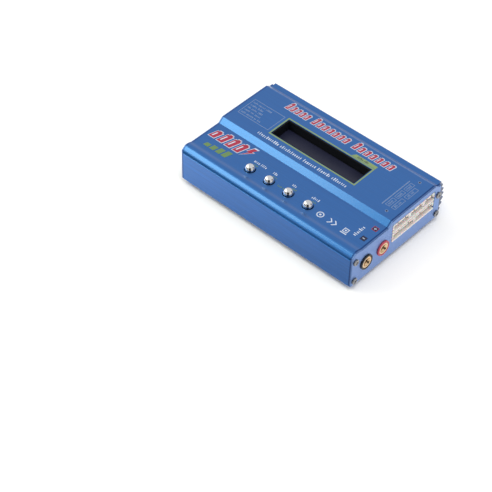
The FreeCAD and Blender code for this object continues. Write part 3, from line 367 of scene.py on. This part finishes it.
def make_studio():
    """Soft light: a pale surround, a softbox in front on the left, another one above."""
    world = bpy.data.worlds.new("studio")
    world.use_nodes = True
    background = world.node_tree.nodes["Background"]
    background.inputs["Color"].default_value = (1, 1, 1, 1)
    background.inputs["Strength"].default_value = 0.74
    bpy.context.scene.world = world
    bpy.context.scene.view_settings.view_transform = "Standard"
    reach = 3.0
    quad("floor", [(-reach, -reach, 0), (reach, -reach, 0), (reach, reach, 0),
                   (-reach, reach, 0)], (0.96, 0.96, 0.96))
    add_softbox("key_light", (-0.62, -0.46, 0.74), 0.8, 0.42, 0.34, 2.7,
                tint=(1.08, 1.05, 0.68))
    add_softbox("side_light", (-1.0, -0.05, 0.42), 0.8, 0.5, 0.4, 1.6)
    add_softbox("top_light", (0.25, -0.15, 1.0), 1.1, 0.6, 0.6, 4.2, mirrored=False)
    add_softbox("end_light", (1.0, -0.25, 0.75), 0.9, 0.4, 0.3, 1.3, mirrored=False)
    add_flag("dark_side", (0.71, 0.53, 0.42), 0.7, 0.35, 0.3)
    add_flag("dark_front", (-0.465, -0.86, 0.24), 0.9, 0.9, 0.24, 0.05)
    add_flag("dark_camera", (0.52, -0.74, 0.42), 0.75, 0.68, 0.72, 0.02)
    near, far, left, right = -0.044, -0.15, -0.08, 0.12
    low = 0.3 * MM
    grey = quad("grey_card", [(left, far, low), (right, far, low), (right, near, low),
                              (left, near, low)], (0.5, 0.5, 0.5))
    fade_along_x(grey.data.materials[0], (-0.06, 0.72), (0.06, 0.46))
    only_mirrored(grey)


# ------------------------------------------------------------------ mesh tools
def new_piece(name, bm, slot, body=ROOT, smooth=math.radians(35), stands_for=()):
    """Makes a mesh into a named piece that has a finish and moves with a body."""
    bmesh.ops.recalc_face_normals(bm, faces=bm.faces)
    mesh = bpy.data.meshes.new(name)
    bm.to_mesh(mesh)
    bm.free()
    if smooth:
        mesh.shade_smooth()
        mesh.set_sharp_from_angle(angle=smooth)
    mesh.materials.append(FINISHES[slot])
    piece = bpy.data.objects.new(name, mesh)
    bpy.context.scene.collection.objects.link(piece)
    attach(piece, body)
    if stands_for:
        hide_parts(*stands_for)
    return piece


def lathe(bm, profile, place, steps=48, closed=False):
    """Turns (radius, height) points in mm about Z, then moves them with a matrix."""
    rings = []
    for radius, height in profile:
        count = steps if radius > 1e-6 else 1
        ring = []
        for i in range(count):
            turn = 2 * math.pi * i / steps
            point = Vector((radius * math.cos(turn), radius * math.sin(turn), height)) * MM
            ring.append(bm.verts.new(place @ point))
        rings.append(ring)
    pairs = list(zip(rings, rings[1:]))
    if closed:
        pairs.append((rings[-1], rings[0]))
    for low, high in pairs:
        for i in range(steps):
            j = (i + 1) % steps
            corners = [low[i % len(low)], low[j % len(low)],
                       high[j % len(high)], high[i % len(high)]]
            corners = list(dict.fromkeys(corners))
            if len(corners) > 2:
                bm.faces.new(corners)


def soften(points, radius, steps=4, closed=False):
    """Rounds the corners of a chain of 2-D points, by up to 45 % of the shorter side."""
    result = []
    count = len(points)
    for i, corner in enumerate(points):
        if not closed and i in (0, count - 1):
            result.append(corner)
            continue
        here = Vector(corner)
        ends = []
        for other in (points[i - 1], points[(i + 1) % count]):
            side = Vector(other) - here
            ends.append(here + side.normalized() * min(radius, 0.45 * side.length))
        for k in range(steps + 1):
            t = k / steps
            bend = ends[0] * (1 - t) ** 2 + here * 2 * t * (1 - t) + ends[1] * t ** 2
            result.append(tuple(bend))
    return result


def prism(bm, outline, low, high, place=Matrix(), shrink=1.0):
    """A solid between two heights from a 2-D outline in mm; shrink scales its lower end."""
    rings = []
    for height, factor in ((low, shrink), (high, 1.0)):
        rings.append([bm.verts.new(place @ (Vector((x * factor, y * factor, height)) * MM))
                      for x, y in outline])
    bm.faces.new(rings[0])
    bm.faces.new(rings[1])
    count = len(outline)
    for i in range(count):
        j = (i + 1) % count
        bm.faces.new((rings[0][i], rings[0][j], rings[1][j], rings[1][i]))


def block(bm, low, high):
    """A solid box between two corners in mm."""
    outline = [(low[0], low[1]), (high[0], low[1]), (high[0], high[1]), (low[0], high[1])]
    prism(bm, outline, low[2], high[2])


def round_edges(piece, width):
    """Rounds a piece's hard edges by this many mm."""
    bevel = piece.modifiers.new("round_edges", "BEVEL")
    bevel.width = width * MM
    bevel.segments = 2
    bevel.limit_method = "ANGLE"
    bevel.angle_limit = math.radians(40)
    bevel.harden_normals = True


def carved(solid, tool):
    """The first mesh with the second one cut out of it, as a new mesh."""
    objects = []
    for bm in (solid, tool):
        bmesh.ops.recalc_face_normals(bm, faces=bm.faces)
        mesh = bpy.data.meshes.new("carving")
        bm.to_mesh(mesh)
        bm.free()
        objects.append(bpy.data.objects.new("carving", mesh))
        bpy.context.scene.collection.objects.link(objects[-1])
    cut = objects[0].modifiers.new("carve", "BOOLEAN")
    cut.object = objects[1]
    cut.solver = "EXACT"
    cut.use_self = True
    depsgraph = bpy.context.evaluated_depsgraph_get()
    result = bmesh.new()
    result.from_object(objects[0], depsgraph)
    for obj in objects:
        bpy.data.objects.remove(obj)
    return result


# ------------------------------------------------------------------ keys
KEYS = ("stop", "decrease", "increase", "start")
KEY_FIRST = -23.8
KEY_PITCH = 14.77
KEY_ROW = -28.2
LOW_DECK = 27.1
HIGH_DECK = 30.0
KEY_RAD = 3.1
KEY_CENTRE = 0.4
KEY_SKIRT = [(0, -2.8), (1.8, -2.8), (1.8, -6.3), (2.3, -6.3), (2.3, -2.0)]
DOME_STEP = 5


def make_keys():
    """Chromed caps: a round dome on a waist, with a hollow skirt round the plunger."""
    turns = [math.radians(angle) for angle in range(-40, 90, DOME_STEP)]
    dome = [(KEY_RAD * math.cos(a), KEY_CENTRE + KEY_RAD * math.sin(a)) for a in turns]
    profile = KEY_SKIRT + dome + [(0, KEY_CENTRE + KEY_RAD)]
    for i, key in enumerate(KEYS):
        bm = bmesh.new()
        centre = Vector((KEY_FIRST + i * KEY_PITCH, KEY_ROW, LOW_DECK)) * MM
        lathe(bm, profile, Matrix.Translation(centre), steps=64)
        new_piece(f"{key}_key_dome", bm, "key_chrome", f"{key}_key",
                  stands_for=(f"{key}_key_cap",))


# ------------------------------------------------------------------ output end
PLATE_FACE = 65.5
SOCKET_Z = 14.5
SOCKET_ROWS = {"negative": (-29.6, "socket_black"), "positive": (-14.8, "socket_red")}
INSULATOR = [(3.95, 0.98), (4.75, 0.98), (5.0, 0.7), (5.0, 0.0), (3.9, 0.0), (3.9, -9.5),
             (2.95, -9.5), (2.95, 0.2), (3.95, 0.2)]
CONTACT = [(0, -13.0), (2.05, -13.0), (2.05, -0.6), (2.9, 0.85), (3.6, 0.85), (3.9, 0.6),
           (3.9, 0.25), (2.9, 0.25), (2.9, -14.5), (1.5, -14.5), (1.5, -18.9), (0, -18.9)]


def make_sockets():
    """Banana sockets: a moulded insulator round a turned brass contact."""
    for sign, (y, colour) in SOCKET_ROWS.items():
        place = Matrix.Translation(Vector((PLATE_FACE, y, SOCKET_Z)) * MM) @ ALONG_X
        bm = bmesh.new()
        lathe(bm, soften(INSULATOR, 0.18, closed=True), place, steps=72, closed=True)
        new_piece(f"{sign}_insulator", bm, colour,
                  stands_for=(f"{sign}_socket_insulator",))
        bm = bmesh.new()
        lathe(bm, soften(CONTACT, 0.15), place, steps=72)
        new_piece(f"{sign}_contact", bm, "contact_brass",
                  stands_for=(f"{sign}_socket_contact",))


SCREW_ROWS = (-39.2, 35.3)
SCREW_HEIGHTS = (6.2, 20.9)
SCREW_PROFILE = [(0, -8.0), (0.85, -8.0), (1.25, -7.5), (1.25, 0.0), (2.0, 0.0), (2.1, 0.1),
                 (2.1, 0.6), (2.03, 0.74), (1.85, 0.88), (1.5, 0.96), (0.9, 1.0), (0, 1.0)]
CROSS_ARM = 1.2
CROSS_SLOT = 0.26
CROSS_LOW = -0.35
CROSS_HIGH = 1.3
CROSS_TAPER = 0.55


def cross_outline(arm, half):
    """Corners of a plus sign."""
    quarter = [(half, arm), (-half, arm), (-half, half)]
    points = []
    for _ in range(4):
        points += quarter
        quarter = [(-y, x) for x, y in quarter]
    return points


def make_end_screws():
    """Domed cross-recess screws, four in each end plate, each turned to its own angle."""
    rng = random.Random(7)
    number = 0
    for side in (1, -1):
        for y in SCREW_ROWS:
            for z in SCREW_HEIGHTS:
                number += 1
                spot = Matrix.Translation(Vector((side * PLATE_FACE, y, z)) * MM)
                face = Matrix.Rotation(side * math.pi / 2, 4, "Y")
                place = spot @ face @ Matrix.Rotation(rng.uniform(0, math.pi / 2), 4, "Z")
                solid = bmesh.new()
                lathe(solid, SCREW_PROFILE, place, steps=40)
                tool = bmesh.new()
                prism(tool, cross_outline(CROSS_ARM, CROSS_SLOT), CROSS_LOW, CROSS_HIGH, place,
                      CROSS_TAPER)
                new_piece(f"end_screw_{number}", carved(solid, tool), "screw_steel",
                          stands_for=("end_plate_screws",))


# ------------------------------------------------------------------ balance headers
MOUTH = 65.9
HEADER_DEPTH = 11.5
HEADER_TALL = 6.05
HEADER_WALL = 0.8
HEADER_END = 4.9
HEADER_FLOOR = 2.4
LATCH_DEPTH = 5.0
LATCH_HALF = 0.6
SLOT_DEPTH = 3.0
SLOT_SPAN = (1.5, 2.7)
PIN_PITCH = 2.5
PIN_HALF = 0.32
PIN_LONG = 9.2
PIN_TIP = 3.5
PIN_TAPER = 0.8
LOWER_Z = 13.15
UPPER_Z = 20.0
HEADERS = ((7, -6.8, LOWER_Z), (6, 13.4, LOWER_Z), (5, -6.8, UPPER_Z), (4, 8.3, UPPER_Z),
           (3, 20.9, UPPER_Z))


def make_header(pins, left, low):
    """A side-entry header housing: a box with a deep mouth, latch notches and end slots."""
    wide = PIN_PITCH * (pins - 1) + HEADER_END
    right = left + wide
    top = low + HEADER_TALL
    over = 0.1
    tool = bmesh.new()

    def cut_box(depth, y0, y1, z0, z1):
        block(tool, (MOUTH - depth, y0, z0), (MOUTH + 0.5, y1, z1))

    solid = bmesh.new()
    block(solid, (MOUTH - HEADER_DEPTH, left, low), (MOUTH, right, top))
    cut_box(HEADER_DEPTH - HEADER_FLOOR, left + HEADER_WALL, right - HEADER_WALL,
            low + HEADER_WALL, top - HEADER_WALL)
    for centre in (left + 0.28 * wide, left + 0.72 * wide):
        cut_box(LATCH_DEPTH, centre - LATCH_HALF, centre + LATCH_HALF,
                top - HEADER_WALL - over, top + over)
    for y0, y1 in ((left - over, left + HEADER_WALL + over),
                   (right - HEADER_WALL - over, right + over)):
        cut_box(SLOT_DEPTH, y0, y1, low + SLOT_SPAN[0], low + SLOT_SPAN[1])
    return carved(solid, tool)


def add_pin(bm, y, z, low):
    """A square L-shaped pin with a tapered tip and a leg down to the board."""
    x_tip = MOUTH - PIN_TIP
    x_back = x_tip - PIN_LONG
    square = [(-PIN_HALF, -PIN_HALF), (PIN_HALF, -PIN_HALF), (PIN_HALF, PIN_HALF),
              (-PIN_HALF, PIN_HALF)]
    rings = []
    for x, factor in ((x_back, 1.0), (x_tip - PIN_TAPER, 1.0), (x_tip, 0.45)):
        rings.append([bm.verts.new(Vector((x, y + a * factor, z + b * factor)) * MM)
                      for a, b in square])
    bm.faces.new(rings[0])
    bm.faces.new(rings[-1])
    for first, second in zip(rings, rings[1:]):
        for i in range(4):
            j = (i + 1) % 4
            bm.faces.new((first[i], first[j], second[j], second[i]))
    block(bm, (x_back, y - PIN_HALF, low), (x_back + 2 * PIN_HALF, y + PIN_HALF, z - PIN_HALF))


def make_balance_headers():
    """Five white headers in two rows, and their pins."""
    pin_mesh = bmesh.new()
    for pins, left, low in HEADERS:
        housing = new_piece(f"balance_housing_{pins}", make_header(pins, left, low),
                            "nylon_white", stands_for=(f"balance_header_{pins}_pin",))
        round_edges(housing, 0.12)
        for i in range(pins):
            y = left + HEADER_END / 2 + i * PIN_PITCH
            add_pin(pin_mesh, y, low + HEADER_TALL / 2, low - 1.6)
    new_piece("balance_header_pins", pin_mesh, "pin_gold", smooth=0,
              stands_for=("balance_pins",))


# ------------------------------------------------------------------ printing on the lid
INK_BELOW = 0.03
INK_ABOVE = 0.045
DISC_STEPS = 24


class Ink:
    """One colour of printing: thin raised shapes on one deck of the lid."""

    def __init__(self, name, slot, deck):
        self.name = name
        self.slot = slot
        self.deck = deck
        self.bm = bmesh.new()

    def shape(self, outline, lift=0.0):
        """A filled outline."""
        prism(self.bm, outline, self.deck - INK_BELOW, self.deck + INK_ABOVE + lift)

    def bar(self, x, y, long, tall, slant=0.0, lift=0.0):
        """A filled bar; slant moves its top along X, as a share of its height."""
        lean = slant * tall
        self.shape([(x, y), (x + long, y), (x + long + lean, y + tall), (x + lean, y + tall)],
                   lift)

    def band(self, outline, width, lift=0.0):
        """A line of this width just inside a convex outline given anticlockwise."""
        count = len(outline)
        inner = []
        for i in range(count):
            here = Vector(outline[i])
            before = (here - Vector(outline[i - 1])).normalized()
            after = (Vector(outline[(i + 1) % count]) - here).normalized()
            normals = [Vector((-side.y, side.x)) for side in (before, after)]
            middle = (normals[0] + normals[1]).normalized()
            inner.append(tuple(here + middle * width / max(0.3, middle.dot(normals[0]))))
        levels = (self.deck - INK_BELOW, self.deck + INK_ABOVE + lift)
        rings = [[self.bm.verts.new(Vector((x, y, z)) * MM) for x, y in loop]
                 for loop in (outline, inner) for z in levels]
        order = (0, 1, 3, 2, 0)
        for first, second in zip(order, order[1:]):
            for i in range(count):
                j = (i + 1) % count
                self.bm.faces.new((rings[first][i], rings[first][j],
                                   rings[second][j], rings[second][i]))

    def ticks(self, rng, x, y, words, tall, slant=0.0, turned=False, lift=0.0):
        """Meaningless strokes in groups, where small print would be."""
        pitch = tall * 0.58
        for count in words:
            for _ in range(count):
                wide = pitch * rng.uniform(0.3, 0.6)
                high = tall * rng.choice((0.68, 0.68, 0.75, 1.0))
                low = rng.choice((0, 0, 0.32)) * (tall - high)
                if turned:
                    self.bar(y - low - high, x, high, wide, lift=lift)
                else:
                    self.bar(x, y + low, wide, high, slant, lift)
                x += pitch
            x += pitch * 0.8
        return x

    def done(self):
        """Makes the printed shapes into one piece."""
        new_piece(self.name, self.bm, self.slot, smooth=0)


def rectangle(x0, y0, x1, y1):
    """Corners of a rectangle, anticlockwise."""
    return [(x0, y0), (x1, y0), (x1, y1), (x0, y1)]


def disc(x, y, radius):
    """Corners of a circle, anticlockwise."""
    turns = [2 * math.pi * k / DISC_STEPS for k in range(DISC_STEPS)]
    return [(x + radius * math.cos(a), y + radius * math.sin(a)) for a in turns]


TITLE_SLANT = 0.2
TITLE_GROUPS = ((-43.3, 5, 3.6), (-22.9, 7, 4.05), (8.6, 7, 4.4))
TITLE_LOW = 24.0
TITLE_TALL = 4.6
TITLE_FIRST = 6.2
OUTLINE = 0.38
# rectangles are (low x, low y, high x, high y); words are counts of strokes
DISPLAY_FRAME = (-35.1, 0.15, 30.9, 18.75)
DISPLAY_FRAME_WIDTH = 0.85
DISPLAY_TAB = ((13.1, 19.0), (31.03, 19.0), (31.03, 21.5), (15.0, 21.5))
TAGLINE_WORDS = (12, 12, 7, 7, 8)
LEFT_PANEL = (-61.3, 1.7, -37.0, 17.6)
LEFT_PANEL_WORDS = ((4, 6, 5), (6, 5), (3, 5, 4), (5, 3, 5), (4, 6, 2, 3))
LEFT_PANEL_PITCH = 2.75
RIGHT_RULE = (51.4, -0.4, 52.0, 25.0)
SMALL_CELLS = 3
SMALL_CELL_PITCH = 8.3
LARGE_CELLS = ((0.6, 10.6), (12.2, 22.4))
RIVETS = ((56.7, 27.9), (57.4, -3.2))
FINE_LINE = 0.28
SMALL_PRINT = 1.5


def print_cell(white, red, x, y, long, tall, slant):
    """A slanted battery cell: a red body with a terminal and a streak of light, outlined."""
    cap = 0.14 * tall
    cap_x = x + 0.28 * long + slant * tall
    white.bar(x - OUTLINE, y - OUTLINE, long + 2 * OUTLINE, tall + 2 * OUTLINE, slant)
    white.bar(cap_x - OUTLINE, y + tall, 0.44 * long + 2 * OUTLINE, cap + OUTLINE, slant)
    red.bar(x, y, long, tall, slant, 0.02)
    red.bar(cap_x, y + tall - 0.1, 0.44 * long, cap, slant, 0.02)
    white.bar(x + 0.24 * long + slant * 0.2 * tall, y + 0.2 * tall, 0.2 * long, 0.6 * tall,
              slant, 0.04)


def print_title(white, red):
    """Three groups of battery cells, the first cell of each group taller."""
    for start, count, pitch in TITLE_GROUPS:
        for i in range(count):
            tall = TITLE_FIRST if i == 0 else TITLE_TALL
            print_cell(white, red, start + i * pitch, TITLE_LOW, pitch * 0.62, tall, TITLE_SLANT)


def print_upper_deck():
    """Title, display frame and tab, two information panels and the line under the display."""
    rng = random.Random(11)
    white = Ink("upper_print_white", "print_white", HIGH_DECK)
    pale = Ink("upper_print_pale", "print_pale", HIGH_DECK)
    red = Ink("upper_print_red", "print_red", HIGH_DECK)
    lime = Ink("upper_print_lime", "print_lime", HIGH_DECK)
    dark = Ink("upper_print_dark", "print_dark", HIGH_DECK)
    lime.band(rectangle(*DISPLAY_FRAME), DISPLAY_FRAME_WIDTH)
    lime.shape(DISPLAY_TAB)
    dark.ticks(rng, 17.0, 19.5, (5, 4), SMALL_PRINT, TITLE_SLANT, lift=0.02)
    print_title(white, red)
    white.ticks(rng, -39.8, -4.7, TAGLINE_WORDS, 2.4)
    pale.band(rectangle(*LEFT_PANEL), 0.3)
    for i, words in enumerate(LEFT_PANEL_WORDS):
        pale.ticks(rng, -59.9, 14.2 - LEFT_PANEL_PITCH * i, words, SMALL_PRINT)
    pale.band(rectangle(*RIGHT_RULE), 0.25)
    for i in range(SMALL_CELLS):
        low = 0.6 + SMALL_CELL_PITCH * i
        pale.band(rectangle(53.2, low, 56.2, low + 7.0), FINE_LINE)
        pale.ticks(rng, low + 1.1, 55.4, (5,), SMALL_PRINT, turned=True)
    for low, high in LARGE_CELLS:
        pale.band(rectangle(57.4, low, 60.4, high), FINE_LINE)
        pale.ticks(rng, low + 1.6, 59.6, (3, 3), SMALL_PRINT, turned=True)
    for x, y in RIVETS:
        pale.band(disc(x, y, 0.95), 0.3)
        dark.shape(disc(x, y, 0.6))
    for ink in (white, pale, red, lime, dark):
        ink.done()


# outline of the bolt, the point that its white rim grows from, and where it is printed
BOLT = ((0.0, 0.0), (2.6, 4.6), (0.9, 4.6), (3.0, 9.0), (5.8, 9.0), (3.9, 5.9), (5.4, 5.9))
BOLT_MIDDLE = (2.9, 4.5)
BOLT_RIM = 1.22
BOLT_AT = (-36.6, -22.6)
MARK_SLANT = 0.28
MARK_CELLS = (6.4, 8.0, 8.0, 8.0)
LEVEL_BARS = 4


def print_mark(white, red, green):
    """A generic picture of a battery on charge: red cells, a bolt, and green level bars."""
    for i, tall in enumerate(MARK_CELLS):
        print_cell(white, red, -62.0 + 6.3 * i, -23.0, 4.3, tall, MARK_SLANT)
    for scale, ink, lift in ((BOLT_RIM, white, 0.0), (1.0, red, 0.02)):
        ink.shape([tuple(at + middle + (value - middle) * scale
                         for at, middle, value in zip(BOLT_AT, BOLT_MIDDLE, corner))
                   for corner in BOLT], lift)
    for i in range(LEVEL_BARS):
        green.bar(-58.6 + 4.6 * i, -31.2, 3.5, 3.0 + 0.9 * i, MARK_SLANT)


LABEL_WORDS = ((4, 4), (3,), (3,), (5,))


def print_key_labels(rng, white, green):
    """Strokes up and to the right of each key, with a row of green ones below them."""
    for i, words in enumerate(LABEL_WORDS):
        x = KEY_FIRST + i * KEY_PITCH - 2.6
        white.ticks(rng, x, -22.1, words, 1.9)
        green.ticks(rng, x + 1.8, -24.4, (4,), 1.4)
    green.ticks(rng, KEY_FIRST + 1.4 * KEY_PITCH, -28.0, (4, 2), 1.5)


RING_AT = (30.4, -28.8)


def print_marks(white):
    """Three plain signs: a ring round a dot, two arrowheads, and a framed dot on a bar."""
    white.band(disc(*RING_AT, 2.3), 0.6)
    white.shape(disc(*RING_AT, 0.7))
    for x in (36.4, 39.6):
        white.shape([(x, -31.0), (x + 0.9, -31.0), (x + 2.9, -28.9), (x + 0.9, -26.8),
                     (x, -26.8), (x + 2.0, -28.9)])
    white.bar(46.9, -31.6, 4.4, 0.7)
    white.band(rectangle(47.4, -30.4, 50.8, -27.0), 0.5)
    white.shape(disc(49.1, -28.7, 0.6))


SQUARE_X = (58.6, 62.0)
SQUARE_HALF = 1.7
PLUS_ROW = -16.4
MINUS_ROW = -26.7


def print_lower_deck():
    """Battery mark, key labels, plain signs and the output polarity squares."""
    rng = random.Random(23)
    white = Ink("lower_print_white", "print_white", LOW_DECK)
    red = Ink("lower_print_red", "print_red", LOW_DECK)
    green = Ink("lower_print_green", "print_green", LOW_DECK)
    dark = Ink("lower_print_dark", "print_dark", LOW_DECK)
    print_mark(white, red, green)
    print_key_labels(rng, white, green)
    print_marks(white)
    white.ticks(rng, -28.3, 55.8, (7,), 2.3, turned=True)
    for y, ring in ((PLUS_ROW, red), (MINUS_ROW, dark)):
        square = rectangle(SQUARE_X[0], y - SQUARE_HALF, SQUARE_X[1], y + SQUARE_HALF)
        dark.shape(square)
        ring.band(square, 0.28, 0.02)
        white.bar(59.5, y - 0.2, 1.6, 0.4, lift=0.04)
        if ring is red:
            white.bar(60.1, y - 0.8, 0.4, 1.6, lift=0.04)
    for ink in (white, red, green, dark):
        ink.done()


make_camera()
make_studio()
make_keys()
make_sockets()
make_end_screws()
make_balance_headers()
print_upper_deck()
print_lower_deck()
